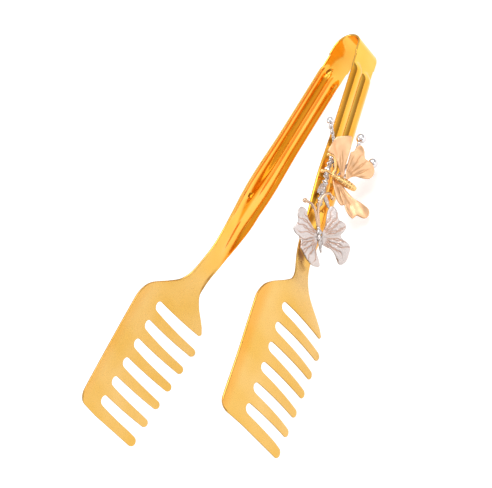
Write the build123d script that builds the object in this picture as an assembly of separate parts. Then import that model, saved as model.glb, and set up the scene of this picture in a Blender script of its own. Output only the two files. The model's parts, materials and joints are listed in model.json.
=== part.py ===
from build123d import *
import math
import os

# Ice tongs: one folded spring strip with comb-shaped jaws, and two soldered butterflies.
# All lengths are millimetres.
#
# The tongs are drawn in the STRIP FRAME and laid down on the table at the very end:
#   x runs from the bow towards the combs, y is the opening direction (right arm at +y),
#   z runs across the strip. The bow's bend is centred on x = 0, y = 0.

# ---------------------------------------------------------------- driving dimensions
sheet = 1.0                    # strip thickness
splay = 9.0                    # each arm leans this far out from the middle plane, degrees

bow_radius = 6.5               # bend radius at mid thickness
bow_half_width = 7.0
bow_end_x = 3.5                # the wide band of the bow stops here
shoulder_radius = 1.4
seam = 0.35                    # gap between the bow and each arm, where the flex is modelled

arm_half_width = 6.5           # along the straight stretch by the bow
arm_swell = 0.6                # the arm is this much wider on each side at swell_x
swell_start_x = 42.0
swell_x = 66.0
swell_end_x = 94.0
arm_half_width_at_end = 5.5    # at swell_end_x
flute_depth = 1.7              # height of the two pressed ribs
flute_start_x = 6.5
flute_full_x = 12.0
flute_fade_x = 82.0
flute_end_x = 108.0
valley_round = 0.35            # rounding of the valley between the two ribs

neck_x = 110.0                 # narrowest place
neck_top = 5.4
neck_bottom = -3.5
step_out_start_x = 97.6        # the sheet steps out from the arm's plane to the comb's
step_out_end_x = 131.0
step_out_skew = 0.2            # the step starts earlier along the spine side

comb_y = 36.2                  # mid surface of the comb at comb_middle_x
comb_middle_x = 155.0
comb_slope = 0.112
comb_bulge_across = 0.0043     # 1 / (2 x radius) across the strip
comb_bulge_along = 0.0005      # 1 / (2 x radius) along it
comb_bulge_z = -0.8

spine_start = (134.0, 22.5)
spine_end = (181.0, 20.4)
spine_corner_radius = 4.5
comb_end_x = 181.8

slot_count = 6
slot_first_x = 128.7
slot_pitch = 8.74
slot_top_z = 9.7
slot_top_width = 3.95
slot_mouth_width = 5.3
slot_top_radius = 1.8
tip_z_first = -19.1            # tine next to the wedge tooth
tip_slope = 0.083              # tips rise towards the far end
tip_radius = 1.4
wedge_tip_z = -16.7

wing_sheet = 0.8
wire_radius = 0.45
antenna_radius = 0.4
post_radius = 1.1
bead_radii = (1.5, 2.0, 2.0)   # at the ends of the three stamens

# Butterfly centres, given along the arm (s), outward from it (h) and across it (z).
rose_centre = (67.5, 7.5, 0.4)
silver_centre = (96.4, 5.5, 0.3)
rose_facing = (0.32, 0.82, 0.48)       # outward normal of each butterfly, strip frame
rose_span = (-0.46, 0.575, -0.675)     # its right-hand side
silver_facing = (0.22, 0.89, 0.39)
silver_span = (-0.495, 0.453, -0.742)
silver_dihedral = 10.0
rose_long_wing_lift = 16.0

half = sheet / 2
arm_y = bow_radius / math.cos(math.radians(splay))
arm_slope = math.tan(math.radians(splay))

# Laid on the table the tongs stand on the bow's rounded end and on the lowest tine of each comb.
tip_centre_x = slot_first_x + slot_pitch - 1.7
drop = -(tip_z_first + tip_radius) - bow_half_width
reach = tip_centre_x + bow_radius + half
lay_tilt = math.degrees(math.atan2(drop, reach) + math.asin(tip_radius / math.hypot(drop, reach)))
lay_origin = (-bow_radius, 0, -bow_half_width)


# ---------------------------------------------------------------- helpers
def smooth(t):
    """0 before t = 0, 1 after t = 1, with level ends."""
    t = min(max(t, 0.0), 1.0)
    return t * t * (3 - 2 * t)


def arm_point(s, h, z):
    """A point s along the right arm, h outward of its middle plane, z across it."""
    a = math.radians(splay)
    return Vector(s * math.cos(a) - h * math.sin(a), arm_y + s * math.sin(a) + h * math.cos(a), z)


def half_width(x):
    """Half the arm's width."""
    swollen = arm_half_width + arm_swell
    width = arm_half_width + arm_swell * smooth((x - swell_start_x) / (swell_x - swell_start_x))
    return width - (swollen - arm_half_width_at_end) * smooth((x - swell_x) / (swell_end_x - swell_x))


def rib_height(x, z):
    """Outward height of the two pressed ribs at one place of the arm."""
    grow = smooth((x - flute_start_x) / (flute_full_x - flute_start_x))
    fade = 1 - smooth((x - flute_fade_x) / (flute_end_x - flute_fade_x))
    crest = half_width(x) / 2
    off_crest = (math.hypot(z, valley_round) - crest) / crest
    return flute_depth * grow * fade * (1 - off_crest ** 2)


def sheet_y(x, z):
    """Mid surface of the right arm, neck and comb."""
    arm = arm_y + arm_slope * x
    if x < flute_end_x:
        arm += rib_height(x, z)
    comb = comb_y + comb_slope * (x - comb_middle_x)
    comb -= comb_bulge_across * (z - comb_bulge_z) ** 2 + comb_bulge_along * (x - 150) ** 2
    w = smooth((x - step_out_start_x + step_out_skew * z) / (step_out_end_x - step_out_start_x))
    return arm * (1 - w) + comb * w


def sheet_point(x, z, outward):
    """A point of the right arm's sheet, measured outward from its mid surface."""
    step = 0.05
    across = (sheet_y(x, z + step) - sheet_y(x, z - step)) / (2 * step)
    along = (sheet_y(x + step, z) - sheet_y(x - step, z)) / (2 * step)
    return Vector(x, sheet_y(x, z), z) + Vector(-along, 1, -across).normalized() * outward


def lay_down(shape):
    """Turn the finished shape from the strip frame to the table."""
    return Rot(0, -lay_tilt, 0) * Pos(*[-c for c in lay_origin]) * shape


def solid_of(shape):
    solids = shape.solids()
    return max(solids, key=lambda s: s.volume)


def tube(points, radius, tangents=None):
    """Round wire along a smooth curve."""
    path = Spline(*points, tangents=tangents) if len(points) > 2 else Line(*points)
    start = Plane(origin=path @ 0, z_dir=path % 0)
    return sweep(start * Circle(radius), path=path)


def ball(centre, radius):
    return Pos(*centre) * Sphere(radius)


# ---------------------------------------------------------------- the strip
def bow_edge(radius):
    """One side of the folded band: two straight ends joined by the bend."""
    a = math.radians(splay)
    touch = (-radius * math.sin(a), radius * math.cos(a))
    end = (bow_end_x, radius / math.cos(a) + arm_slope * bow_end_x)
    return [Line(end, touch), ThreePointArc(touch, (-radius, 0), (touch[0], -touch[1])),
            Line((touch[0], -touch[1]), (end[0], -end[1]))]


def make_bow():
    outer = bow_edge(bow_radius + half)
    inner = bow_edge(bow_radius - half)
    caps = [Line(outer[0] @ 0, inner[0] @ 0), Line(outer[2] @ 1, inner[2] @ 1)]
    bow = extrude(make_face(outer + inner + caps), bow_half_width, both=True)
    corners = [e for e in bow.edges() if e.length < 1.2 * sheet]
    return fillet(corners, shoulder_radius)


def comb_outline():
    """Outline of arm, neck and comb seen along the opening direction, as (x, z)."""
    start_x = bow_end_x + seam
    top = Spline((neck_x, neck_top), (116, 7.0), (120.2, 10.9), (125.4, 17.5), (129, 20.8),
                 spine_start, tangents=[(1, 0), (1, -0.045)])
    swell = [(x, half_width(x)) for x in (swell_start_x, 54, swell_x, 80, swell_end_x)]
    edge = [Line((start_x, arm_half_width), (swell_start_x, arm_half_width)),
            Spline(*swell, (neck_x, neck_top), tangents=[(1, 0), (1, 0)]),
            top,
            Polyline(spine_start, spine_end, (comb_end_x, 0))]
    points = [(comb_end_x, 0)]
    for k in reversed(range(slot_count)):
        x = slot_first_x + slot_pitch * k
        tip_z = tip_z_first + tip_slope * slot_pitch * k
        points += [(comb_end_x if k == slot_count - 1 else x + slot_pitch, tip_z),
                   (x + slot_mouth_width, tip_z), (x + slot_top_width, slot_top_z),
                   (x, slot_top_z)]
    points += [(slot_first_x, wedge_tip_z), (slot_first_x - 2.6, wedge_tip_z)]
    edge.append(Polyline(*points))
    edge += [Spline(points[-1], (120.6, -8.6), (115.5, -4.6), (neck_x, neck_bottom),
                    tangents=[(-1, 1.15), (-1, 0.02)]),
             Spline((neck_x, neck_bottom), (102, -3.9), (96, -4.7), (88, -5.85),
                    *[(x, -z) for x, z in swell[3::-1]], tangents=[(-1, 0), (-1, 0)]),
             Polyline((swell_start_x, -arm_half_width), (start_x, -arm_half_width),
                      (start_x, arm_half_width))]
    face = make_face([e for piece in edge for e in piece.edges()])
    corners = face.vertices()
    tips = [v for v in corners if v.Y < -12 and v.X > slot_first_x - 0.1]
    tops = [v for v in corners if abs(v.Y - slot_top_z) < 0.01]
    wedge = [v for v in corners if v.Y < -12 and v.X < slot_first_x - 0.1]
    face = fillet(tips, tip_radius)
    face = fillet([v for v in face.vertices() if is_near(v, tops)], slot_top_radius)
    face = fillet([v for v in face.vertices() if is_near(v, wedge)], 0.8)
    spine = [v for v in face.vertices() if math.hypot(v.X - spine_end[0], v.Y - spine_end[1]) < 0.01]
    return fillet(spine, spine_corner_radius)


def is_near(vertex, others):
    return any(math.hypot(vertex.X - o.X, vertex.Y - o.Y) < 0.01 for o in others)


def make_right_arm():
    """One pressed sheet: the curved mid surface, thickened, cut to the outline."""
    columns = [bow_end_x - 1.5 + k * (186 - bow_end_x) / 110 for k in range(111)]
    rows = [k / 18 for k in range(-18, 19)]
    grid = []
    for x in columns:
        reach_z = arm_half_width + 1.2 + 18.6 * smooth((x - 104) / 24)
        grid.append([sheet_point(x, r * reach_z, -half) for r in rows])
    inner = Face.make_surface_from_array_of_points(grid, tol=0.005, min_deg=3, max_deg=5)
    skin = Solid.thicken(inner, sheet, normal_override=(0, 1, 0))
    outline = Plane.XZ * comb_outline()
    return solid_of(skin & extrude(outline, -80))


# ---------------------------------------------------------------- the decoration
def butterfly_plane(centre, facing, span):
    return Plane(origin=arm_point(*centre), x_dir=span, z_dir=facing)


def wing(plane, outline, turn=None):
    """A leaf-shaped plate; turn tips it about the butterfly's middle."""
    blade = extrude(make_face(Spline(*outline, periodic=True)), wing_sheet / 2, both=True)
    if turn:
        blade = Rot(*turn) * blade
    return plane.location * blade


def spindle(plane, head, tail, radii):
    """Round body from head to tail; radii are given at equal steps along it."""
    length = math.dist(head, tail)
    steps = len(radii) + 1
    points = [(0, 0)] + [(length * (k + 1) / steps, r) for k, r in enumerate(radii)] + [(length, 0)]
    side = Spline(*points, tangents=[(0, 1), (0, -1)])
    profile = make_face([side, Line((length, 0), (0, 0))])
    body = revolve(profile, Axis.X)
    turn = math.degrees(math.atan2(tail[1] - head[1], tail[0] - head[0]))
    lift = wing_sheet / 2 + 0.3
    return plane.location * Pos(head[0], head[1], lift) * Rot(0, 0, turn) * body


def antennae(plane, curves, lift=0.9):
    """Wires from the head, each ending in a small ball."""
    parts = []
    for curve in curves:
        points = [plane.from_local_coords((u, v, lift)) for u, v in curve]
        parts += [tube(points, antenna_radius), ball(points[-1], 2 * antenna_radius)]
    return parts[0].fuse(*parts[1:])


def post(centre, foot_h):
    """Short pin from the arm's outer face up to a butterfly."""
    s, h, z = centre
    foot = arm_point(s, foot_h, z)
    way = arm_point(s, foot_h + 1, z) - foot
    return Plane(origin=foot, z_dir=way) * extrude(Circle(post_radius), h - foot_h)


def make_decoration():
    rose = butterfly_plane(rose_centre, rose_facing, rose_span)
    silver = butterfly_plane(silver_centre, silver_facing, silver_span)
    parts = {}

    parts["rose_wing_fan"] = wing(rose, [(-0.3, 0.6), (-1.8, 5.6), (-3.2, 9.0), (-6.2, 11.2),
                                         (-3.7, 14.9), (-1.2, 17.2), (3.8, 17.1), (3.4, 12.6),
                                         (1.4, 6.6), (0.9, 1.6)])
    parts["rose_wing_round"] = wing(rose, [(1.1, 0.3), (2.2, 5.6), (4.2, 11.0), (6.3, 13.3),
                                           (8.4, 13.0), (9.6, 8.8), (12.6, 6.0), (13.0, 2.7),
                                           (10.6, 0.5), (5.8, 1.4), (2.9, 0.2)])
    parts["rose_wing_long"] = wing(rose, [(-3.8, 0.6), (-3.3, -5.0), (-2.4, -9.0), (-0.6, -10.5),
                                          (0.9, -12.4), (3.2, -15.7), (5.2, -15.0), (8.2, -15.9),
                                          (9.8, -13.2), (6.7, -9.4), (2.4, -5.6), (-0.3, -1.3)],
                                   turn=(-rose_long_wing_lift * 0.77, -rose_long_wing_lift * 0.64, 0))
    parts["rose_body"] = spindle(rose, (-4.6, 2.2), (5.0, -3.6), (0.9, 1.15, 1.2, 1.1, 1.0))
    parts["rose_antennae"] = antennae(rose, [[(-4.2, 2.0), (-2.9, 4.6), (-3.0, 7.4), (-5.6, 9.8)],
                                             [(-4.2, 2.0), (-6.4, 3.6), (-8.2, 3.4)]])
    parts["rose_post"] = post(rose_centre, 0.7)

    parts["silver_wing_left"] = wing(silver, [(-1.0, 3.2), (-3.6, 5.2), (-5.7, 9.2), (-8.2, 12.4),
                                              (-10.1, 9.4), (-11.6, 4.4), (-9.0, 0.6),
                                              (-9.0, -3.4), (-5.6, -8.4), (-0.8, -10.3),
                                              (-1.6, -5.6), (-0.9, -1.6)],
                                     turn=(0, silver_dihedral, 0))
    parts["silver_wing_right"] = wing(silver, [(0.6, 3.2), (2.1, 6.0), (3.0, 11.0), (4.9, 13.0),
                                               (6.8, 10.8), (7.3, 7.7), (10.2, 5.6), (8.5, 1.4),
                                               (11.7, -2.4), (10.7, -7.2), (7.8, -9.4),
                                               (5.2, -5.2), (2.2, -2.8), (0.6, -1.2)],
                                      turn=(0, -silver_dihedral, 0))
    parts["silver_body"] = spindle(silver, (-1.1, 6.2), (0.1, -5.2), (1.1, 0.9, 0.8, 0.75, 0.5))
    parts["silver_antennae"] = antennae(silver, [[(-1.3, 5.4), (-2.1, 10.4), (-3.7, 13.5),
                                                  (-6.5, 14.9)],
                                                 [(-0.9, 5.4), (-1.1, 12.0), (0.8, 16.4),
                                                  (3.4, 17.9), (4.9, 16.2)]])
    parts["silver_post"] = post(silver_centre, 0.2)

    stem = [(58.0, 2.3, 4.2), (66.0, 2.35, 4.6), (73.0, 2.3, 4.0), (81.0, 2.3, 3.2)]
    parts["twig_stem"] = tube([arm_point(*p) for p in stem], 0.7)
    for name, root, tip in (("twig_leaf_upper", (71.5, 2.6, 4.4), (78.5, 3.4, 7.4)),
                            ("twig_leaf_lower", (75.0, 2.6, 3.7), (80.5, 4.2, -1.4))):
        start = arm_point(*root)
        way = arm_point(*tip) - start
        leaf = Plane(origin=start, x_dir=way, z_dir=arm_point(0, 1, 0) - arm_point(0, 0, 0))
        side = [(0, 0), (way.length * 0.45, 1.2), (way.length, 0), (way.length * 0.45, -1.2)]
        blade = make_face([Spline(*side[:3]), Spline(side[2], side[3], side[0])])
        parts[name] = leaf.location * extrude(blade, 0.35, both=True)

    hub = (66.9, 4.2, 1.0)
    stamens = [((54.0, 3.2, 5.6), (46.6, 4.0, 13.0)),
               ((57.0, 8.4, -0.6), (47.4, 11.0, 0.4)),
               ((60.0, 8.8, -4.6), (54.6, 13.8, -7.2))]
    for k, (bend, tip) in enumerate(stamens, start=1):
        wire = [arm_point(*hub), arm_point(*bend), arm_point(*tip)]
        parts[f"stamen_wire_{k}"] = tube(wire, wire_radius)
        parts[f"stamen_bead_{k}"] = ball(wire[-1], bead_radii[k - 1])
    return parts


def main():
    os.makedirs("parts", exist_ok=True)
    right_arm = make_right_arm()
    nodes = {"spring_bow": make_bow(), "right_arm": right_arm,
             "left_arm": mirror(right_arm, Plane.XZ)}
    nodes.update(make_decoration())
    for name, shape in nodes.items():
        export_step(lay_down(shape), f"parts/{name}.step")


main()
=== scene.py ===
import json
import math

import bmesh
import bpy
import numpy as np
from mathutils import Matrix, Vector, geometry


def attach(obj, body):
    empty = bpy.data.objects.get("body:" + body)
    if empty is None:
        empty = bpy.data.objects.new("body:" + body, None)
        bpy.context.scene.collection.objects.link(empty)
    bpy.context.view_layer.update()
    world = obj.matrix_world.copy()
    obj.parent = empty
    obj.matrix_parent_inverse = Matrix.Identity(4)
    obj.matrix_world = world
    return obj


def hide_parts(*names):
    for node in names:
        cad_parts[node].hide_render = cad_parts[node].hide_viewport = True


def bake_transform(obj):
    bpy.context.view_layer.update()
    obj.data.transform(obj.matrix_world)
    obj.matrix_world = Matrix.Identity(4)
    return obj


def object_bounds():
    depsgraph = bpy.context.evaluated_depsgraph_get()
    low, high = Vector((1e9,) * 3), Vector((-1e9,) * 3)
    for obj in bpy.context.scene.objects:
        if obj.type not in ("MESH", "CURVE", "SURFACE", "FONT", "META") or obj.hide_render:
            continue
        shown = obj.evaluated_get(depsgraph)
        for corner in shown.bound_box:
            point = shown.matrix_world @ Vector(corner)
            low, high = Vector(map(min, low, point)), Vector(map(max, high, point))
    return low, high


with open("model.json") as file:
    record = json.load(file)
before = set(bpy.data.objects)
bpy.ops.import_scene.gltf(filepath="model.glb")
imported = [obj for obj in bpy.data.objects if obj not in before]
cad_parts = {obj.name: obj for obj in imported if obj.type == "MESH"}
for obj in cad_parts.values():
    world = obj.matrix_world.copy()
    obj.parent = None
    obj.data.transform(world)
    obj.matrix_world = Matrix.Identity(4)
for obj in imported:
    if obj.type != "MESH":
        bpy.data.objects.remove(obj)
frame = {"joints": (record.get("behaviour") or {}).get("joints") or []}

cad_low, cad_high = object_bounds()

# Everything is drawn in the STRIP FRAME, in millimetres, then laid down on the table:
#   x from the bow to the combs, y the opening direction, z across the strip.
MM = 0.001
SHEET = 1.0          # thickness of the strip
WING = 0.8           # thickness of a wing
SPLAY = math.radians(9.0)
BOW_RADIUS = 6.5
BOW_HALF_WIDTH = 7.0
BOW_END = 3.5
ARM_HALF_WIDTH = 6.5
ARM_SWELL = 0.6      # what each side of the arm gains towards its middle
ARM_TAPER = 1.6      # and then loses towards the neck
NECK_X = 110.0
STEP_START, STEP_LENGTH, STEP_SKEW = 97.6, 33.4, 0.2    # where the sheet steps out to the comb
COMB_Y, COMB_X, COMB_SLOPE = 36.2, 155.0, 0.112         # mid surface of the comb
COMB_BULGE_ACROSS, COMB_BULGE_ALONG = 0.0043, 0.0005
SLOTS, SLOT_FIRST, SLOT_PITCH, SLOT_TOP = 6, 128.7, 8.74, 9.7
COMB_END = 181.8
ARM_Y = BOW_RADIUS / math.cos(SPLAY)
ARM_SLOPE = math.tan(SPLAY)

# The left hinge's axis is the strip's own z axis, so it gives the tilt of the laid-down tongs.
hinge = next(j for j in frame["joints"] if j["name"] == "left_arm_squeeze")
TILT = math.atan2(-hinge["axis"][0], hinge["axis"][2])
LAY = Matrix.Rotation(-TILT, 4, "Y") @ Matrix.Translation((BOW_RADIUS, 0, BOW_HALF_WIDTH))
LAY_TURN = LAY.to_3x3()
ARC_START = -BOW_RADIUS * math.sin(SPLAY) - BOW_RADIUS * (math.pi / 2 - SPLAY)
FLOOR_Z = cad_low.z
DENTS = (8.0, 72.0)  # along the left arm
DENT_Z = 1.9
DENT_DEPTH = 0.55
PINCH_DEPTH = 0.4
FLUTE_DEPTH = 1.9

# Dark brown patches of painted shade and reflection beside the twig and at the right neck: x, z, half
# length, half height.
PAINTED_SHADE_PATCHES = ((86.3, 3.6, 2.6, 1.4), (76.5, 5.3, 1.8, 0.8), (72.0, 2.6, 2.2, 1.2),
               (103.6, 3.2, 2.4, 2.4), (50.0, 6.2, 1.6, 0.7), (66.0, 5.4, 1.5, 0.9))

# Each butterfly's middle as (along the arm, out of it, across it), outward normal and span.
ROSE_CENTRE, ROSE_FACING, ROSE_SPAN = (67.5, 7.5, 0.4), (0.32, 0.82, 0.48), (-0.46, 0.575, -0.675)
SILVER_CENTRE, SILVER_FACING, SILVER_SPAN = (96.4, 5.5, 0.3), (0.22, 0.89, 0.39), (-0.495, 0.453, -0.742)

CAMERA_AT = (414.66, 479.52, 428.35)
CAMERA_TARGET = (106.4, 6.1, 15.0)
CAMERA_UP = (-0.8113, 0.0181, 0.5843)
CAMERA_LENS = 134.02


def on_table(points):
    """Strip-frame points in millimetres to row-frame points in metres."""
    m = np.array(LAY)
    return (np.asarray(points, float) @ m[:3, :3].T + m[:3, 3]) * MM


# ------------------------------------------------------------------ outlines
def smooth(t):
    """0 below 0, 1 above 1, and a soft step between."""
    t = np.clip(t, 0, 1)
    return t * t * (3 - 2 * t)


def arc(centre, radius, start, end, steps):
    """Points of a round corner, angles in degrees."""
    angles = np.radians(np.linspace(start, end, steps))
    return [(centre[0] + radius * math.cos(a), centre[1] + radius * math.sin(a)) for a in angles]


def curve(points, step=0.35):
    """Smooth curve through the points, cut into short pieces."""
    p = [np.array(q, float) for q in points]
    p = [2 * p[0] - p[1]] + p + [2 * p[-1] - p[-2]]
    out = []
    for k in range(1, len(p) - 2):
        a, b, c, d = p[k - 1:k + 3]
        count = max(int(np.linalg.norm(c - b) / step), 2)
        for t in np.arange(count) / count:
            m0, m1 = 0.5 * (c - a), 0.5 * (d - b)
            h = (2 * t**3 - 3 * t**2 + 1) * b + (t**3 - 2 * t**2 + t) * m0
            out.append(h + (3 * t**2 - 2 * t**3) * c + (t**3 - t**2) * m1)
    out.append(p[-2])
    return [tuple(q) for q in out]


def even(points, step):
    """The same line with no piece longer than step and none very short."""
    p = np.array(points, float)
    out = [p[0]]
    for q in p[1:]:
        gap = np.linalg.norm(q - out[-1])
        if gap < 0.12:
            continue
        count = int(math.ceil(gap / step))
        start = out[-1]
        out += [start + (q - start) * (i + 1) / count for i in range(count)]
    return np.array(out)


def half_width(x):
    """Half the arm's width, which swells in the middle of the arm."""
    return ARM_HALF_WIDTH + ARM_SWELL * smooth((x - 42) / 24) - ARM_TAPER * smooth((x - 66) / 28)


def strip_outline():
    """Rim of half the strip, from the bow's middle round the comb and back, as (u, z)."""
    top = [(ARC_START, BOW_HALF_WIDTH)]
    top += arc((BOW_END - 1.0, BOW_HALF_WIDTH - 0.9), 0.9, 90, 20, 6)
    top += [(BOW_END + 0.4, ARM_HALF_WIDTH + 0.05), (BOW_END + 1.2, ARM_HALF_WIDTH)]
    top += [(x, half_width(x)) for x in np.arange(10, 92, 3)]
    top += curve([(93, 5.5), (97, 5.42), (105, 5.38), (NECK_X, 5.4), (113.5, 5.85), (117, 7.5),
                  (120.2, 10.9), (123, 14.5), (125.8, 17.9), (129.2, 20.6), (134, 22.05), (140, 21.95)])
    top += [(175, 20.62)]
    top += arc((176.8, 16.07), 4.45, 86, 4, 12)
    top += [(COMB_END - 0.3, 8)]
    rim = even(top, 0.7).tolist()
    for k in reversed(range(SLOTS)):
        x = SLOT_FIRST + SLOT_PITCH * k
        tip = -19.1 + 0.083 * SLOT_PITCH * k
        right = COMB_END if k == SLOTS - 1 else x + SLOT_PITCH
        left = x + 5.2
        r = (right - left) * 0.5
        tine = [(right, 4)] if k < SLOTS - 1 else []
        tine += arc((right - r, tip + r), r, 0, -180, 15)
        tine += [(left - 0.35, -10), (x + 4.05, 7)]
        tine += arc((x + 1.97, SLOT_TOP - 1.97), 1.97, 8, 172, 15)
        rim += even(tine, 0.7).tolist()
    wedge = [(SLOT_FIRST, 4)] + arc((SLOT_FIRST - 1.0, -15.8), 1.0, 0, -140, 9)
    wedge += curve([(125.2, -14.9), (123.2, -12.3), (120.4, -8.5), (117.8, -5.8), (115, -4.3),
                    (NECK_X, -3.5), (104.5, -3.65), (100, -4.05), (96, -4.75), (91, -5.5), (86, -6.05),
                    (81, -6.45)])
    wedge += [(x, -half_width(x)) for x in np.arange(76, 9, -3)]
    wedge += [(BOW_END + 1.2, -ARM_HALF_WIDTH), (BOW_END + 0.4, -ARM_HALF_WIDTH - 0.05)]
    wedge += arc((BOW_END - 1.0, -BOW_HALF_WIDTH + 0.9), 0.9, -20, -90, 6)
    wedge += [(ARC_START, -BOW_HALF_WIDTH)]
    rim += even(wedge, 0.7).tolist()
    return rim


# ------------------------------------------------------------------ sheet surfaces
def lower_width(x):
    """Half width of the arm below its middle, which runs on into the narrow neck."""
    return half_width(x) - 1.3 * smooth((x - 88) / 16)


def rib_height(x, z):
    """Outward height of the two pressed flutes, with rounded ends by the bow.

    Towards the neck the valley between them fills, and the lower one runs out last.
    """
    upper = smooth((z + 1.5) / 3)
    fade = (1 - smooth((x - 72) / 27)) * upper + (1 - smooth((x - 82) / 28)) * (1 - upper)
    crest = (half_width(x) * upper + lower_width(x) * (1 - upper)) / 2
    valley = 0.28 + 2.1 * smooth((x - 50) / 42)
    crest = np.hypot(2 * crest, valley) / 2
    q = (np.hypot(z, valley) - crest) / crest
    e = np.clip((11.5 - x) / 4.5, 0, 3)
    g = 1 - q**2 - e**2
    soft = 0.5 * (g + np.sqrt(g * g + 0.004))
    share = smooth((x - 11.5) / 8)
    return FLUTE_DEPTH * (soft * (1 - share) + g * share) * fade


def sheet_y(x, z):
    """Mid surface of the right arm, neck and comb."""
    arm = ARM_Y + ARM_SLOPE * x + rib_height(x, z)
    comb = COMB_Y + COMB_SLOPE * (x - COMB_X)
    comb = comb - COMB_BULGE_ACROSS * (z + 0.8)**2 - COMB_BULGE_ALONG * (x - 150)**2
    w = smooth((x - STEP_START + STEP_SKEW * z) / STEP_LENGTH)
    return arm * (1 - w) + comb * w


def strip_place(u, z, h):
    """Point and outward offset of the strip: round the bow first, then along the arm."""
    u, z, h = (np.asarray(a, float) for a in (u, z, h))
    touch = -BOW_RADIUS * math.sin(SPLAY)
    angle = (np.minimum(u, touch) - ARC_START) / BOW_RADIUS
    bow = np.stack([-np.cos(angle) * (BOW_RADIUS + h), np.sin(angle) * (BOW_RADIUS + h), z], 1)
    d = 0.02
    along = (sheet_y(u + d, z) - sheet_y(u - d, z)) / (2 * d)
    across = (sheet_y(u, z + d) - sheet_y(u, z - d)) / (2 * d)
    normal = np.stack([-along, np.ones_like(u), -across], 1)
    normal /= np.linalg.norm(normal, axis=1)[:, None]
    sheet = np.stack([u, sheet_y(u, z), z], 1) + normal * h[:, None]
    return np.where((u < touch)[:, None], bow, sheet)


# ------------------------------------------------------------------ plates
def inward(rim, closed):
    """Unit normals that point into the plate, whose rim runs either way round."""
    after = np.roll(rim, -1, 0) - rim
    before = rim - np.roll(rim, 1, 0)
    if not closed:
        after[-1], before[0] = before[-1], after[0]
    after /= np.linalg.norm(after, axis=1)[:, None]
    before /= np.linalg.norm(before, axis=1)[:, None]
    t = after + before
    t /= np.linalg.norm(t, axis=1)[:, None]
    x, y = rim[:, 0], rim[:, 1]
    area = np.sum(x * np.roll(y, -1) - np.roll(x, -1) * y)
    return np.stack([-t[:, 1], t[:, 0]], 1) * (1 if area > 0 else -1)


def depth_inside(points, rim, closed):
    """Distance from the rim, negative outside it. An open rim's missing side counts as no edge."""
    a, b = rim, np.roll(rim, -1, 0)
    ab = b - a
    edges = len(rim) if closed else len(rim) - 1
    far = np.full(len(points), 1e9)
    winding = np.zeros(len(points), bool)
    for start in range(0, len(points), 2000):
        p = points[start:start + 2000, None, :]
        ap = p - a[None]
        t = np.clip((ap * ab).sum(2) / np.maximum((ab * ab).sum(1), 1e-12), 0, 1)
        gap = np.linalg.norm(ap - ab[None] * t[..., None], axis=2)[:, :edges].min(1)
        cross = (a[None, :, 1] > p[..., 1]) != (b[None, :, 1] > p[..., 1])
        edge_x = a[:, 0] + (p[..., 1] - a[:, 1]) * ab[:, 0] / np.where(ab[:, 1] == 0, 1e-12, ab[:, 1])
        far[start:start + 2000] = gap
        winding[start:start + 2000] = (cross & (p[..., 0] < edge_x)).sum(1) % 2 == 1
    return np.where(winding, far, -far)


def plate(name, rim, lattice, place, half, closed=True, steps=4, gap=0.25, tint=None,
          reflection_share=None):
    """A thin sheet with rounded edges.

    rim is its outline, lattice the points inside it, and place(u, v, h) puts a point of the flat
    pattern h above the middle of the bent sheet. With closed False the rim's ends lie on a cut.
    tint(u, v) gives the share of the second colour, and the last function that of the third colour, which is
    a painted reflection.
    """
    rim = np.array(rim, float)
    n = len(rim)
    normal = inward(rim, closed)
    rings, heights = [], []
    for k in range(steps + 1):
        phi = math.pi / 2 * k / steps
        rings.append(rim + normal * half * (1 - math.cos(phi)))
        heights.append(np.full(n, half * math.sin(phi)))
    inside = np.asarray(lattice, float)
    inside = inside[depth_inside(inside, rim, closed) > half + gap]
    points = np.concatenate(rings + [inside])
    height = np.concatenate(heights + [np.full(len(inside), half)])
    last = n if closed else n - 1
    edges = [(k * n + i, k * n + (i + 1) % n) for k in range(steps + 1) for i in range(last)]
    cut = []
    if not closed:
        start = rings[-1][0]
        across = rings[-1][-1] - start
        count = max(int(np.linalg.norm(across) / 0.7), 2)
        extra = np.array([start + across * i / count for i in range(1, count)])
        first = len(points)
        points = np.concatenate([points, extra])
        height = np.concatenate([height, np.full(len(extra), half)])
        cut = [k * n for k in range(steps + 1)] + list(range(first, first + len(extra)))
        cut += [k * n + n - 1 for k in reversed(range(steps + 1))]
        edges += list(zip(cut[:-1], cut[1:]))
    found = geometry.delaunay_2d_cdt([Vector(p) for p in points], edges, [], 1, 1e-6, True)
    flat = np.array([tuple(v) for v in found[0]])
    source = [ids[0] if ids else -1 for ids in found[3]]
    up = np.array([height[i] if i >= 0 else half for i in source])
    on_rim = np.array([0 <= i < n for i in source])
    count = len(flat)
    lower = np.where(on_rim, np.arange(count), count + np.cumsum(~on_rim) - 1)
    top = place(flat[:, 0], flat[:, 1], up)
    bottom = place(flat[:, 0], flat[:, 1], -up)[~on_rim]
    verts = on_table(np.concatenate([top, bottom]))
    faces = []
    for a, b, c in found[2]:
        if on_rim[a] and on_rim[b] and on_rim[c]:
            continue
        area = (flat[b][0] - flat[a][0]) * (flat[c][1] - flat[a][1])
        area -= (flat[c][0] - flat[a][0]) * (flat[b][1] - flat[a][1])
        f = (a, b, c) if area > 0 else (a, c, b)
        faces.append(f)
        faces.append(tuple(int(lower[i]) for i in reversed(f)))
    smooth_faces = len(faces)
    place_of = {i: k for k, i in enumerate(source) if i >= 0}
    line = [place_of[i] for i in cut]
    for a, b in zip(line[:-1], line[1:]):
        loop = [a, b, int(lower[b]), int(lower[a])]
        faces.append([i for k, i in enumerate(loop) if i != loop[k - 1]])
    pattern = np.concatenate([flat, flat[~on_rim]])
    edge = 1 - np.concatenate([up, up[~on_rim]]) / half
    share = tint(pattern[:, 0], pattern[:, 1]) if tint else np.zeros(len(pattern))
    piece = mesh_object(name, verts, faces, smooth_faces, pattern, edge, share)
    # Share of the third colour, deep orange painted as reflection.
    if reflection_share:
        add_values(piece.data, "reflection_share", reflection_share(pattern[:, 0], pattern[:, 1]))
    return piece


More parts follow.
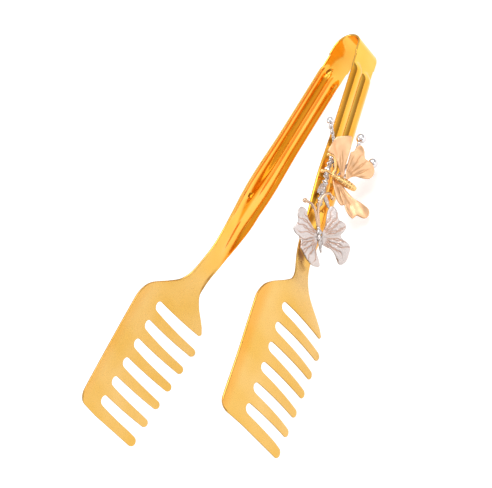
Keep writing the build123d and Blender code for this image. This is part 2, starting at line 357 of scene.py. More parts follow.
def add_values(mesh, title, values):
    """One number for each vertex, which the materials read by its title."""
    attribute = mesh.attributes.new(title, "FLOAT", "POINT")
    attribute.data.foreach_set("value", np.asarray(values, np.float32))


def mesh_object(name, verts, faces, smooth_faces, pattern, edge, share):
    """A mesh whose first smooth_faces faces are smooth and whose later ones close a flat cut."""
    mesh = bpy.data.meshes.new(name)
    mesh.from_pydata(np.asarray(verts).tolist(), [], faces)
    layer = mesh.uv_layers.new(name="pattern")
    corner = np.zeros(len(mesh.loops), np.int32)
    mesh.loops.foreach_get("vertex_index", corner)
    layer.data.foreach_set("uv", (pattern[corner] * 0.01).astype(np.float32).ravel())
    add_values(mesh, "edge", edge)
    add_values(mesh, "share", share)
    mesh.shade_smooth()
    flags = np.ones(len(mesh.polygons), bool)
    flags[smooth_faces:] = False
    mesh.polygons.foreach_set("use_smooth", flags)
    work = bmesh.new()
    work.from_mesh(mesh)
    work.faces.ensure_lookup_table()
    bmesh.ops.recalc_face_normals(work, faces=work.faces)
    for e in work.edges:
        if len(e.link_faces) == 2 and len({f.index >= smooth_faces for f in e.link_faces}) == 2:
            e.smooth = False
    work.to_mesh(mesh)
    work.free()
    piece = bpy.data.objects.new(name, mesh)
    bpy.context.scene.collection.objects.link(piece)
    return piece


def grid(x0, x1, dx, z0, z1, dz):
    """Points dx and dz apart that fill a rectangle."""
    xs = np.arange(x0, x1 + 1e-6, dx)
    zs = np.arange(z0, z1 + 1e-6, dz)
    return [(x, z) for x in xs for z in zs]


def make_strip(side):
    """Half the folded strip: side +1 is the right arm, -1 the left arm."""
    lattice = [(ARC_START + 0.04, z) for z in np.arange(-6.3, 6.31, 0.7)]
    lattice += grid(ARC_START + 0.45, 3.2, 0.45, -6.3, 6.31, 0.7)
    lattice += grid(3.7, 14, 0.5, -6.6, 6.61, 0.33)
    lattice += grid(14.9, 111, 0.9, -6.93, 6.94, 0.33)
    lattice += grid(112, 182, 0.9, -19.5, 22.5, 0.9)
    if side < 0:
        lattice += [p for x in DENTS
                    for p in grid(x - 1.6, x + 1.6, 0.2, DENT_Z - 1.2, DENT_Z + 1.2, 0.2)]

    def place(u, z, h):
        p = strip_place(u, z, h)
        p[:, 1] += comb_waves(u, z, side)
        if side < 0:
            for x in DENTS:
                p[:, 1] += DENT_DEPTH * dent(u - x, z - DENT_Z)
            p[:, 1] += PINCH_DEPTH * pinch(u, z)
        p[:, 1] *= side
        return p

    def painted_shade(u, z):
        """Share of dark brown painted shade: in the dents and pinch crease of the left arm, in patches on
        the right one.
        """
        if side < 0:
            return sum(dent(u - x, z - DENT_Z) for x in DENTS) + 0.8 * pinch(u + 0.8, z)
        marks = sum(np.exp(-((u - x) / long)**4 - ((z - y) / high)**4)
                    for x, y, long, high in PAINTED_SHADE_PATCHES)
        return 0.95 * np.minimum(marks, 1)

    def painted_reflection_bands(u, z):
        """Share of deep orange painted as reflection, in bands along the flutes and along the comb's spine.
        """
        start = smooth((u - 9) / 4)
        spine = smooth((z - 16) / 4) * smooth((u - 120) / 8)
        if side > 0:
            crests = np.exp(-((z - 5.2) / 1.7)**4) + np.exp(-((z + 2.4) / 1.6)**4)
            return 0.6 * start * crests * (1 - smooth((u - 96) / 10)) + 0.4 * spine
        taper = 1 - smooth((u - 62) / 28)
        upper = np.exp(-((z - 0.3 - 1.1 * taper) / (0.4 + 1.5 * taper))**4)
        upper *= 1 - smooth((u - 82) / 8)
        lower = np.exp(-((z + 0.9 * lower_width(u)) / 1.3)**4) * (1 - smooth((u - 98) / 8))
        return start * (upper + lower) + 0.15 * spine

    # The strip's dark brown share is painted shade and its deep orange bands are painted reflection.
    name = "right_strip" if side > 0 else "left_strip"
    piece = plate(name, strip_outline(), lattice, place, SHEET / 2, closed=False, tint=painted_shade,
                  reflection_share=painted_reflection_bands)
    piece.data.materials.append(GOLD)
    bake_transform(piece)
    if side > 0:
        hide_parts("right_arm", "spring_bow")
    else:
        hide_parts("left_arm")


def dent(du, dz):
    """A small oval punch mark, 1 at its middle."""
    return np.exp(-(du / 1.1)**4 - (dz / 0.65)**4)


def pinch(u, z):
    """Crease that the press leaves where the left neck turns into the wedge tooth."""
    bend = z + 2.6 + 0.045 * np.maximum(u - 110, 0)**2
    return np.exp(-((u - 113) / 6)**4 - (bend / 0.55)**2)


def comb_waves(u, z, side):
    """A comb's slightly uneven surface, which turns inward along its spine."""
    waves = np.sin(0.21 * u + 0.13 * z * side) * np.sin(0.17 * z + 0.6 * side)
    spine = smooth((z - 15.5) / 6)
    return (0.07 * waves - 0.45 * spine) * smooth((u - 116) / 14)


# ------------------------------------------------------------------ round pieces
def arm_point(s, h, z):
    """A point above the right arm: s along it, h out of its mid surface, z across."""
    return np.array([s * math.cos(SPLAY) - h * math.sin(SPLAY),
                     ARM_Y + s * math.sin(SPLAY) + h * math.cos(SPLAY), z])


def sweep(points, radii, sides=14, shape=None, round_ends=True):
    """A closed round form along points. shape(angle, along) scales its radius."""
    p = np.array(points, float)
    r = np.broadcast_to(np.asarray(radii, float), len(p)).copy()
    if round_ends:
        head, tail = p[0] - p[1], p[-1] - p[-2]
        head, tail = head / np.linalg.norm(head), tail / np.linalg.norm(tail)
        turns = np.radians([90, 60, 30])
        front = [p[0] + head * r[0] * math.sin(a) for a in turns]
        back = [p[-1] + tail * r[-1] * math.sin(a) for a in turns[::-1]]
        p = np.concatenate([front, p, back])
        r = np.concatenate([r[0] * np.cos(turns), r, r[-1] * np.cos(turns[::-1])])
    tangent = np.gradient(p, axis=0)
    tangent /= np.linalg.norm(tangent, axis=1)[:, None]
    side = np.cross(tangent[0], [0.31, 0.17, 0.93])
    along = np.concatenate([[0], np.cumsum(np.linalg.norm(np.diff(p, axis=0), axis=1))])
    angle = np.arange(sides) * 2 * math.pi / sides
    rings = []
    for k in range(len(p)):
        side = side - tangent[k] * (side @ tangent[k])
        side /= np.linalg.norm(side)
        other = np.cross(tangent[k], side)
        size = r[k] * (shape(angle, along[k]) if shape else np.ones(sides))
        circle = np.cos(angle)[:, None] * side + np.sin(angle)[:, None] * other
        rings.append(p[k] + size[:, None] * circle)
    verts = np.concatenate([[p[0]]] + rings[1:-1] + [[p[-1]]])
    count = len(rings) - 2
    faces = []
    for i in range(sides):
        j = (i + 1) % sides
        faces.append((0, 1 + j, 1 + i))
        for k in range(count - 1):
            a, b = 1 + k * sides, 1 + (k + 1) * sides
            faces.append((a + i, a + j, b + j, b + i))
        end = 1 + (count - 1) * sides
        faces.append((end + i, end + j, len(verts) - 1))
    marks = np.concatenate([[along[0]], np.repeat(along[1:-1], sides), [along[-1]]])
    rounds = np.concatenate([[0], np.tile(angle, count), [0]])
    return verts, faces, np.stack([marks, rounds], 1)


def lathe(start, way, profile, sides=20, shape=None):
    """A turned form from start along way; profile lists (distance, radius) from end to end."""
    way = np.asarray(way, float) / np.linalg.norm(way)
    points = [np.asarray(start, float) + way * d for d, r in profile]
    return sweep(points, [r for d, r in profile], sides, shape, round_ends=False)


def ball(centre, radius):
    angles = np.radians(np.linspace(-90, 90, 13))
    profile = [(radius * math.sin(a), radius * math.cos(a)) for a in angles]
    return lathe(centre, (0.3, 0.5, 0.8), profile, 18)


def solid(name, forms, material, slot, *nodes):
    """One object from several closed forms, riding on the right jaw."""
    verts, faces, marks = [], [], []
    for v, f, m in forms:
        faces += [tuple(i + len(verts) for i in face) for face in f]
        verts += list(v)
        marks += list(m)
    verts = on_table(np.array(verts))
    zero = np.zeros(len(verts))
    piece = mesh_object(name, verts, faces, len(faces), np.array(marks), zero, zero)
    return finish_piece(piece, material, slot, *nodes)


def finish_piece(piece, material, slot, *nodes):
    """Material and body of a decoration piece; the CAD nodes it replaces are hidden."""
    piece.data.materials.append(material)
    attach(piece, "right_jaw")
    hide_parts(*nodes)
    return piece


# ------------------------------------------------------------------ butterflies
class Butterfly:
    """A flat butterfly's own frame: u across the wings, v towards its head, h up out of it."""

    def __init__(self, centre, facing, span):
        self.origin = arm_point(*centre)
        n = Vector(facing).normalized()
        u = Vector(span)
        u = (u - n * u.dot(n)).normalized()
        self.axes = np.array([u, n.cross(u), n])

    def point(self, u, v, h, turn=(0, 0)):
        about_u, about_v = (math.radians(a) for a in turn)
        tip = Matrix.Rotation(about_u, 3, "X") @ Matrix.Rotation(about_v, 3, "Y")
        local = np.stack(np.broadcast_arrays(u, v, h), -1).astype(float) @ np.array(tip).T
        return self.origin + local @ self.axes


def vein_field(u, v, root, angles, width, bend=0.0, ripple=0.0, start=1.2):
    """Veins that fan out from root: 1 on a vein's line, 0 between."""
    r = np.hypot(u - root[0], v - root[1]) + 1e-6
    theta = np.degrees(np.arctan2(v - root[1], u - root[0]))
    total = np.zeros_like(r)
    for k, a in enumerate(angles):
        line = a + bend * r * (1 if k % 2 else -0.6) + ripple * np.sin(1.1 * r + 2.4 * k)
        off = (theta - line + 180) % 360 - 180
        gap = r * np.sin(np.radians(np.clip(off, -90, 90)))
        reach = 7.5 + 4.5 * ((k * 0.618) % 1)
        total = np.maximum(total, np.exp(-(gap / width)**2) * smooth((r - start) / 1.5)
                           * (1 - smooth((r - reach) / 3)))
    return total


def wing(name, fly, outline, relief, tint, material, slot, turn=(0, 0)):
    """A wing with the outline, raised by relief(u, v), in a butterfly's frame turned about u, v."""
    rim = even(curve(outline + outline[:1], 0.3)[:-1], 0.35)
    low, high = rim.min(0), rim.max(0)
    step = 0.22
    lattice = grid(low[0], high[0], step, low[1], high[1], step)

    def place(u, v, h):
        return fly.point(u, v, relief(u, v) + h, turn)

    piece = plate(name, rim, lattice, place, WING / 2, steps=3, gap=0.1, tint=tint)
    return finish_piece(piece, material, slot, name)


def make_rose():
    """Upper butterfly: three wings, body, antennae and post."""
    fly = Butterfly(ROSE_CENTRE, ROSE_FACING, ROSE_SPAN)

    def fan_veins(u, v):
        return vein_field(u, v, (-0.2, -2.0), (64, 72, 80, 87, 94, 101, 109), 0.24, 0.12, 0.6, 4)

    def fan(u, v):
        rolled = smooth((-u - 1.2 - 0.25 * np.abs(v - 9)) / 2.2)
        tip = smooth((v - 13) / 5)
        return 0.9 * rolled - 0.5 * tip + 0.25 * np.sin(0.8 * u) - 0.16 * fan_veins(u, v)

    wing("rose_wing_fan", fly,
         [(-0.3, 0.6), (-0.9, 3.4), (-1.7, 5.8), (-2.6, 7.9), (-3.6, 9.4), (-5.2, 10.3), (-6.1, 11.1),
          (-5.6, 12.3), (-4.6, 13.8), (-3.4, 15.4), (-2.2, 16.7), (-1.4, 17.1), (1.2, 17.3), (3.9, 17.2),
          (4.0, 15.4), (3.7, 13.4), (3.1, 11.2), (2.2, 8.6), (1.5, 6.4), (1.1, 4.0), (0.9, 1.6)],
         fan, fan_veins, ROSE, "rose_gold")

    def round_veins(u, v):
        return vein_field(u, v, (0.2, 0), (10, 18, 26, 33, 40, 47, 54, 61), 0.24, 0.3, 0.9, 3)

    def round_lobe(u, v):
        r = np.hypot(u - 6.8, v - 6.3)
        cup = 0.035 * (r - 3)**2 * (r > 3) - 0.3
        return cup + 0.2 * np.sin(0.7 * u + 0.5 * v) - 0.17 * round_veins(u, v)

    wing("rose_wing_round", fly,
         [(1.1, 0.3), (1.5, 3.0), (2.3, 6.0), (2.9, 8.6), (3.5, 10.9), (4.5, 11.2), (5.4, 11.8), (5.9, 12.8),
          (6.7, 13.5), (7.7, 13.6), (8.6, 12.7), (9.2, 11.2), (9.3, 9.6), (9.7, 8.4), (11.3, 7.4),
          (12.6, 6.0), (13.1, 4.4), (12.9, 2.6), (11.8, 1.1), (10.4, 0.45), (8.4, 0.7), (5.6, 1.4),
          (3.6, 1.0), (2.2, 0.2)],
         round_lobe, round_veins, ROSE, "rose_gold")

    def long_veins(u, v):
        return vein_field(u, v, (-2.4, 1.0), (-82, -76, -70, -64, -58, -52), 0.26, -0.25, 0.8, 3)

    def long_lobe(u, v):
        tip = smooth((-v - 9) / 6)
        return 0.35 * np.sin(0.9 * u + 0.35 * v) + 0.5 * tip - 0.17 * long_veins(u, v)

    wing("rose_wing_long", fly,
         [(-3.8, 0.6), (-3.6, -2.4), (-3.1, -5.6), (-2.3, -8.6), (-1.0, -10.4), (0.3, -10.3), (0.7, -12.2),
          (1.8, -14.6), (3.1, -15.8), (4.1, -15.2), (4.9, -14.7), (6.2, -15.5), (7.6, -16.1), (8.9, -15.6),
          (9.8, -14.1), (9.7, -12.2), (8.3, -10.6), (6.5, -9.3), (4.1, -7.7), (2.3, -5.5), (0.8, -3.2),
          (-0.3, -0.9), (-1.8, 0.6)],
         long_lobe, long_veins, ROSE, "rose_gold", turn=(-12.3, -10.2))

    lift = WING / 2 + 0.3
    head, tail = fly.point(-4.6, 2.2, lift), fly.point(5.5, -3.9, lift)
    length = np.linalg.norm(tail - head)
    t = np.linspace(0, 1, 46)
    outline = np.sin(math.pi * t)**0.32 * (1.35 + 0.4 * t)
    outline *= 1 - 0.18 * np.exp(-((t - 0.24) / 0.035)**2) - 0.1 * np.exp(-((t - 0.5) / 0.03)**2)
    outline *= 1 + 0.035 * np.cos(2 * math.pi * 9 * t) * smooth((t - 0.45) / 0.1)
    profile = list(zip(t * length, outline))
    solid("rose_body", [lathe(head, tail - head, profile, 24)], WIRE, "gold_wire", "rose_body")

    forms = []
    for path in ([(-4.2, 2.0), (-3.0, 4.4), (-3.0, 7.4), (-3.9, 9.2), (-5.6, 9.8)],
                 [(-4.2, 2.0), (-6.4, 3.4), (-8.2, 3.3)]):
        line = curve([tuple(fly.point(u, v, 0.9)) for u, v in path], 0.3)
        forms += [sweep(line, np.linspace(0.55, 0.45, len(line)), 12), ball(line[-1], 0.85)]
    solid("rose_antennae", forms, WIRE, "gold_wire", "rose_antennae")
    make_post("rose_post", ROSE_CENTRE, 0.7, ROSE, "rose_gold")


def make_silver():
    """Lower butterfly: two wings, body, antennae and post."""
    fly = Butterfly(SILVER_CENTRE, SILVER_FACING, SILVER_SPAN)

    def left_veins(u, v):
        angles = (116, 122, 129, 135, 142, 148, 155, 162, 187, 194, 202, 210, 219, 227, 236, 245)
        return vein_field(u, v, (0.2, 1.0), angles, 0.2, 0.5, 3.1, 2.2)

    def left_wing(u, v):
        fold = np.exp(-((np.degrees(np.arctan2(v - 1, -u + 0.2)) + 2) / 7)**2)
        return 0.3 * np.sin(0.55 * v + 0.3 * u) - 0.35 * fold - 0.2 * left_veins(u, v)

    wing("silver_wing_left", fly,
         [(-1.0, 2.6), (-1.9, 3.6), (-2.9, 4.3), (-4.1, 5.8), (-5.1, 7.6), (-5.7, 9.6), (-6.1, 11.3),
          (-7.1, 12.1), (-8.3, 12.4), (-9.6, 11.3), (-10.2, 9.3), (-9.9, 7.4), (-10.5, 5.8), (-11.5, 4.8),
          (-11.7, 3.5), (-10.6, 2.0), (-9.1, 1.1), (-8.6, -0.3), (-8.9, -2.2), (-9.0, -3.4), (-8.0, -4.8),
          (-6.9, -6.7), (-5.5, -8.4), (-3.9, -9.7), (-2.3, -10.3), (-0.9, -10.4), (-0.4, -9.8),
          (-0.8, -8.0), (-1.5, -5.7), (-1.8, -3.3), (-1.1, -1.4)],
         left_wing, left_veins, SILVER, "silver_satin", turn=(0, 10))

    def right_veins(u, v):
        angles = (63, 57, 51, 45, 38, 31, 23, 15, -4, -11, -19, -27, -35, -43, -51)
        return vein_field(u, v, (-0.2, 1.0), angles, 0.2, 0.5, 3.1, 2.2)

    def right_wing(u, v):
        fold = np.exp(-((np.degrees(np.arctan2(v - 1, u + 0.2)) - 5) / 7)**2)
        return 0.3 * np.sin(0.5 * v - 0.35 * u) - 0.35 * fold - 0.2 * right_veins(u, v)

    wing("silver_wing_right", fly,
         [(0.6, 2.6), (1.4, 4.0), (2.0, 5.4), (2.3, 7.2), (2.7, 9.9), (3.4, 11.8), (4.5, 13.0), (5.9, 12.5),
          (6.9, 10.7), (7.0, 8.9), (7.6, 7.6), (9.0, 7.0), (10.1, 6.0), (10.2, 4.6), (9.3, 3.1),
          (8.3, 1.9), (8.8, 0.5), (10.1, -0.5), (11.4, -1.8), (11.8, -3.4), (11.2, -5.8), (10.3, -8.0),
          (8.7, -9.3), (7.3, -9.2), (6.5, -7.6), (5.6, -5.5), (4.2, -3.6), (2.6, -2.8), (1.2, -2.0),
          (0.6, -1.0)],
         right_wing, right_veins, SILVER, "silver_satin", turn=(0, -10))

    lift = WING / 2 + 0.3
    head, tail = fly.point(-1.1, 6.2, lift), fly.point(0.1, -5.2, lift)
    way = tail - head
    length = np.linalg.norm(way)

    def wrinkles(angle, along):
        return 1 + 0.07 * np.sin(5 * angle + 1.7 * along) + 0.05 * np.cos(7.5 * along)

    t = np.linspace(0, 1, 60)
    outline = np.sin(math.pi * t)**0.5 * (1.1 - 0.5 * t)
    outline *= 1 - 0.35 * np.exp(-((t - 0.38) / 0.04)**2) - 0.3 * np.exp(-((t - 0.58) / 0.03)**2)
    outline *= 1 + 0.25 * np.exp(-((t - 0.93) / 0.05)**2)
    forms = [lathe(head, way, list(zip(t * length, outline)), 28, wrinkles),
             ball(head + way * 0.3, 1.25), ball(head + way * 0.52, 1.0)]
    solid("silver_body", forms, DARK_SILVER, "silver_satin", "silver_body")

    forms = []
    for path in ([(-1.3, 5.4), (-2.1, 10.4), (-3.7, 13.5), (-6.5, 14.9)],
                 [(-0.9, 5.4), (-1.1, 12.0), (0.8, 16.4), (3.4, 17.9), (4.9, 16.2)]):
        line = curve([tuple(fly.point(u, v, 0.9)) for u, v in path], 0.3)
        forms += [sweep(line, np.linspace(0.6, 0.5, len(line)), 12), ball(line[-1], 0.95)]
    solid("silver_antennae", forms, BRONZE, "silver_satin", "silver_antennae")
    make_post("silver_post", SILVER_CENTRE, 0.2, SILVER, "silver_satin")


def make_post(name, centre, foot, material, slot):
    """Pin with a solder fillet at each end."""
    s, h, z = centre
    start = arm_point(s, foot, z)
    high = h - foot
    profile = [(0, 0), (0, 2.0), (0.15, 1.9), (0.4, 1.5), (0.8, 1.2), (1.4, 1.1), (high - 1.2, 1.1),
               (high - 0.6, 1.25), (high - 0.2, 1.6), (high, 1.7), (high, 0)]
    solid(name, [lathe(start, arm_point(s, h, z) - start, profile, 24)], material, slot, name)


def make_twig():
    """Knobbly twig along the arm, with two ribbed leaves."""
    def bark(angle, along):
        knots = 0.26 * np.sin(3 * angle + 2.2 * along) + 0.16 * np.sin(2 * angle - 3.1 * along + 1)
        return 1 + knots + 0.12 * math.sin(1.9 * along)

    stem = [(58.0, 2.3, 4.2), (62, 2.5, 4.7), (66.0, 2.35, 4.6), (70, 2.6, 4.1), (73.0, 2.3, 4.0),
            (77, 2.5, 3.8), (81.0, 2.3, 3.2)]
    line = curve([tuple(arm_point(*p)) for p in stem], 0.22)
    solid("twig_stem", [sweep(line, 0.98, 18, bark)], DARK_SILVER, "silver_satin", "twig_stem")
    out = arm_point(0, 1, 0) - arm_point(0, 0, 0)
    for name, root, tip in (("twig_leaf_upper", (71.5, 2.6, 4.4), (78.5, 3.4, 7.4)),
                            ("twig_leaf_lower", (75.0, 2.6, 3.7), (80.5, 4.2, -1.4))):
        start = arm_point(*root)
        way = arm_point(*tip) - start
        length = np.linalg.norm(way)
        x = Vector(way / length)
        n = Vector(out)
        n = (n - x * n.dot(x)).normalized()
        axes = np.array([x, n.cross(x), n])
        t = np.linspace(0, 1, 26)
        wide = 1.25 * np.sin(math.pi * t**0.8)**0.8 * (1 + 0.08 * np.cos(24 * t))
        rim = list(zip(t * length, wide)) + list(zip(t[::-1] * length, -wide[::-1]))[1:-1]
        rim = even(rim, 0.3)

        def place(u, v, h):
            rib = 0.22 * np.exp(-(v / 0.22)**2) + 0.1 * np.cos(4 * (u - 1.3 * np.abs(v)))
            local = np.stack([u, v, 0.12 * v**2 + rib + h], 1)
            return start + local @ axes

        lattice = grid(0, length, 0.2, -1.2, 1.2, 0.15)
        piece = plate(name, rim, lattice, place, 0.3, steps=3, gap=0.08)
        finish_piece(piece, SILVER, "silver_satin", name)


def make_stamens():
    """Three twisted wires from under the upper butterfly, with a collared ball on each."""
    hub = (66.9, 4.2, 1.0)
    stamens = [((54.0, 3.2, 5.6), (46.6, 4.0, 13.0)),
               ((57.0, 8.4, -0.6), (47.4, 11.0, 0.4)),
               ((60.0, 8.8, -4.6), (54.6, 13.8, -7.2))]

    def twist(angle, along):
        return 1 + 0.2 * np.cos(2 * angle - 3.2 * along)

    for k, (bend, tip) in enumerate(stamens, start=1):
        line = curve([tuple(arm_point(*p)) for p in (hub, bend, tip)], 0.2)
        forms = [sweep(line, 0.6, 14, twist)]
        if k == 1:
            forms += [ball(arm_point(48.2, 3.5, 11.1), 0.95), ball(arm_point(49.7, 3.5, 9.7), 0.8)]
        solid(f"stamen_wire_{k}", forms, DARK_SILVER, "silver_satin", f"stamen_wire_{k}")
        way = np.array(line[-1]) - np.array(line[-3])
        way /= np.linalg.norm(way)
        radius = 1.5 if k == 1 else 2.0
        neck = -0.94 * radius
        collar = [(neck - 1.0, 0), (neck - 0.95, 0.55), (neck - 0.75, 0.85), (neck - 0.35, 0.9),
                  (neck - 0.1, 0.7)]
        angles = np.radians(np.linspace(-66, 90, 21))
        profile = collar + [(radius * math.sin(a), radius * math.cos(a)) for a in angles]
        solid(f"stamen_bead_{k}", [lathe(line[-1], way, profile, 26)], NICKEL, "bead_nickel",
              f"stamen_bead_{k}")


# ------------------------------------------------------------------ materials
def metal(name, base, second, dark, rough, texture_scale=1.0, bump=0.15, satin=None,
          drift=(0.03, 0.06, 0.10), reflection_colour=None, grain_size=420,
          shade_rough=0.0, depth=0.04):
    """Polished or satin metal: tone drifts slowly, smudges change the gloss, edges are darker and rougher.

    second is the colour where the mesh's share is 1, and the third colour, a painted reflection, where its
    reflection value is 1.
    satin is a (colour, roughness) for the combs, which the arms run into.
    """
    made = bpy.data.materials.new(name)
    made.use_nodes = True
    nodes, links = made.node_tree.nodes, made.node_tree.links
    shader = nodes["Principled BSDF"]
    shader.inputs["Metallic"].default_value = 1.0

    def node(kind, **values):
        n = nodes.new(kind)
        for key, value in values.items():
            setattr(n, key, value)
        return n

    def noise(scale, detail, source):
        n = node("ShaderNodeTexNoise")
        n.inputs["Scale"].default_value = scale
        n.inputs["Detail"].default_value = detail
        links.new(source, n.inputs["Vector"])
        return n.outputs["Fac"]

    def remap(value, low, high, to_low, to_high):
        n = node("ShaderNodeMapRange")
        for key, number in (("From Min", low), ("From Max", high), ("To Min", to_low), ("To Max", to_high)):
            n.inputs[key].default_value = number
        links.new(value, n.inputs["Value"])
        return n.outputs["Result"]

    def mix(kind, factor, a, b):
        n = node("ShaderNodeMix", data_type="RGBA", blend_type=kind)
        for socket, value in ((n.inputs["Factor"], factor), (n.inputs["A"], a), (n.inputs["B"], b)):
            if isinstance(value, (float, tuple)):
                socket.default_value = value
            else:
                links.new(value, socket)
        return n.outputs["Result"]

    def add(a, b, operation="ADD"):
        n = node("ShaderNodeMath", operation=operation)
        for socket, value in zip(n.inputs, (a, b)):
            if isinstance(value, float):
                socket.default_value = value
            else:
                links.new(value, socket)
        return n.outputs["Value"]

    pattern = node("ShaderNodeUVMap", uv_map="pattern").outputs["UV"]
    edge = node("ShaderNodeAttribute", attribute_name="edge").outputs["Fac"]
    share = node("ShaderNodeAttribute", attribute_name="share").outputs["Fac"]
    tone = noise(5 * texture_scale, 2, pattern)
    smudge = noise(28 * texture_scale, 5, pattern)
    grain = noise(grain_size * texture_scale, 4, pattern)

    colour = (*base, 1.0)
    gloss = remap(smudge, 0.35, 0.7, rough * 0.8, rough * 1.35)
    if satin:
        place = node("ShaderNodeSeparateXYZ")
        links.new(pattern, place.inputs["Vector"])
        on_comb = remap(place.outputs["X"], 0.84, 1.16, 0.0, 1.0)
        colour = mix("MIX", on_comb, colour, (*satin[0], 1.0))
        gloss = add(gloss, add(on_comb, satin[1] - rough, "MULTIPLY"))
    # Third colour: deep orange painted as reflection, in bands on the gold strip.
    if reflection_colour:
        reflection_share = node("ShaderNodeAttribute", attribute_name="reflection_share").outputs["Fac"]
        colour = mix("MIX", add(reflection_share, 0.9, "MULTIPLY"), colour, (*reflection_colour, 1.0))
    # Second colour: painted shade on the gold strip, vein lines on the wings.
    colour = mix("MIX", add(share, 0.85, "MULTIPLY"), colour, (*second, 1.0))
    patches = node("ShaderNodeCombineColor")
    for channel, spread in zip(("Red", "Green", "Blue"), drift):
        links.new(remap(tone, 0.3, 0.7, 1 - spread, 1 + spread / 2), patches.inputs[channel])
    colour = mix("MULTIPLY", 1.0, colour, patches.outputs["Color"])
    # Towards the rim the colour darkens and the gloss drops.
    edge_darkening = remap(edge, 0.35, 0.9, 0.0, 0.75)
    colour = mix("MIX", edge_darkening, colour, (*dark, 1.0))
    links.new(colour, shader.inputs["Base Color"])
    dull = add(add(edge_darkening, 0.45, "MULTIPLY"), add(share, shade_rough, "MULTIPLY"))
    links.new(add(gloss, dull), shader.inputs["Roughness"])
    relief = node("ShaderNodeBump")
    relief.inputs["Strength"].default_value = bump
    relief.inputs["Distance"].default_value = depth * MM
    links.new(add(grain, smudge), relief.inputs["Height"])
    links.new(relief.outputs["Normal"], shader.inputs["Normal"])
    return made


# The gold's dark brown second colour is painted shade, and its deep orange third colour is painted
# reflection.
GOLD = metal("gold_strip", (0.92, 0.52, 0.095), (0.20, 0.055, 0.0), (0.36, 0.2, 0.07), 0.12, bump=0.1,
             satin=((0.71, 0.44, 0.13), 0.26), drift=(0.04, 0.10, 0.40),
             reflection_colour=(0.80, 0.27, 0.006), shade_rough=0.22)
ROSE = metal("rose_gold", (0.84, 0.52, 0.30), (0.52, 0.26, 0.11), (0.42, 0.22, 0.09), 0.42, 2.0, 0.6,
             grain_size=150, depth=0.06)
SILVER = metal("silver_satin", (0.62, 0.55, 0.53), (0.42, 0.20, 0.11), (0.16, 0.13, 0.12), 0.32, 2.0, 1.0,
               grain_size=110, depth=0.14)
DARK_SILVER = metal("dark_silver", (0.55, 0.51, 0.50), (0.4, 0.25, 0.18), (0.2, 0.18, 0.17), 0.25,
                    0.02, 0.5)
BRONZE = metal("bronze_wire", (0.62, 0.42, 0.29), (0.5, 0.3, 0.2), (0.2, 0.15, 0.1), 0.2, 0.02, 0.3)
WIRE = metal("gold_wire", (0.90, 0.55, 0.22), (0.6, 0.3, 0.1), (0.5, 0.25, 0.1), 0.2, 0.02, 0.3)
NICKEL = metal("bead_nickel", (0.72, 0.70, 0.72), (0.5, 0.5, 0.5), (0.2, 0.2, 0.2), 0.12, 0.02, 0.2)


# ------------------------------------------------------------------ studio
def make_floor():
    """Plain white paper that glows a little, so that it stays white."""
    size = 3.0
    mesh = bpy.data.meshes.new("floor")
    corners = [(x, y, FLOOR_Z) for x, y in ((-size, -size), (size, -size), (size, size), (-size, size))]
    mesh.from_pydata(corners, [], [(0, 1, 2, 3)])
    floor = bpy.data.objects.new("floor", mesh)
    bpy.context.scene.collection.objects.link(floor)
    paper = bpy.data.materials.new("white_paper")
    paper.use_nodes = True
    shader = paper.node_tree.nodes["Principled BSDF"]
    shader.inputs["Base Color"].default_value = (0.55, 0.55, 0.55, 1)
    shader.inputs["Emission Color"].default_value = (1, 1, 1, 1)
    shader.inputs["Emission Strength"].default_value = 0.6
    shader.inputs["Roughness"].default_value = 0.9
    shader.inputs["Specular IOR Level"].default_value = 0.0
    mesh.materials.append(paper)


def make_light(name, at, size, power):
    """A soft round lamp, placed from the object's middle and turned to it."""
    lamp = bpy.data.lights.new(name, "AREA")
    lamp.shape = "DISK"
    lamp.size = size
    lamp.energy = power
    holder = bpy.data.objects.new(name, lamp)
    bpy.context.scene.collection.objects.link(holder)
    centre = (cad_low + cad_high) / 2
    holder.location = centre + Vector(at)
    holder.rotation_mode = "QUATERNION"
    holder.rotation_quaternion = (-Vector(at)).to_track_quat("-Z", "Y")


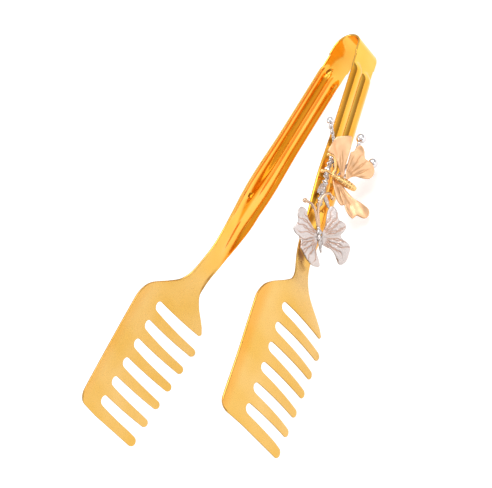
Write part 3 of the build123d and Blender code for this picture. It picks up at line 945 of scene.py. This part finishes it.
def make_studio():
    """Bright above, dim towards the horizon, so that polished metal shows its form."""
    world = bpy.data.worlds.new("studio")
    bpy.context.scene.world = world
    world.use_nodes = True
    nodes, links = world.node_tree.nodes, world.node_tree.links
    place = nodes.new("ShaderNodeTexCoord")
    split = nodes.new("ShaderNodeSeparateXYZ")
    height = nodes.new("ShaderNodeMapRange")
    ramp = nodes.new("ShaderNodeValToRGB")
    height.inputs["From Min"].default_value = -1.0
    links.new(place.outputs["Generated"], split.inputs["Vector"])
    links.new(split.outputs["Z"], height.inputs["Value"])
    links.new(height.outputs["Result"], ramp.inputs["Fac"])
    links.new(ramp.outputs["Color"], nodes["Background"].inputs["Color"])
    steps = ((0.48, 0.7), (0.51, 0.42), (0.60, 0.42), (0.74, 0.9), (1.0, 1.0))
    while len(ramp.color_ramp.elements) < len(steps):
        ramp.color_ramp.elements.new(0.5)
    for element, (position, grey) in zip(ramp.color_ramp.elements, steps):
        element.position = position
        element.color = (grey, grey, grey, 1)
    make_floor()
    make_light("key", (-0.45, 0.3, 0.95), 0.8, 6.0)
    make_light("fill", (0.7, -0.5, 0.8), 0.9, 3.5)
    make_light("panel", (0.0, 1.1, 0.3), 0.7, 1.6)
    bpy.context.scene.view_settings.view_transform = "Standard"


def make_camera():
    """Looks down on the tongs from the comb side, over the decorated arm."""
    lens = bpy.data.cameras.new("camera")
    lens.lens = CAMERA_LENS
    lens.sensor_width = 36
    lens.clip_start, lens.clip_end = 0.05, 10
    camera = bpy.data.objects.new("camera", lens)
    bpy.context.scene.collection.objects.link(camera)
    bpy.context.scene.camera = camera
    back = (LAY_TURN @ (Vector(CAMERA_AT) - Vector(CAMERA_TARGET))).normalized()
    right = (LAY_TURN @ Vector(CAMERA_UP)).cross(back).normalized()
    turn = Matrix([right, back.cross(right), back]).transposed()
    camera.matrix_world = Matrix.Translation(Vector(on_table([CAMERA_AT])[0])) @ turn.to_4x4()


make_strip(1)
make_strip(-1)
make_rose()
make_silver()
make_twig()
make_stamens()
make_studio()
make_camera()
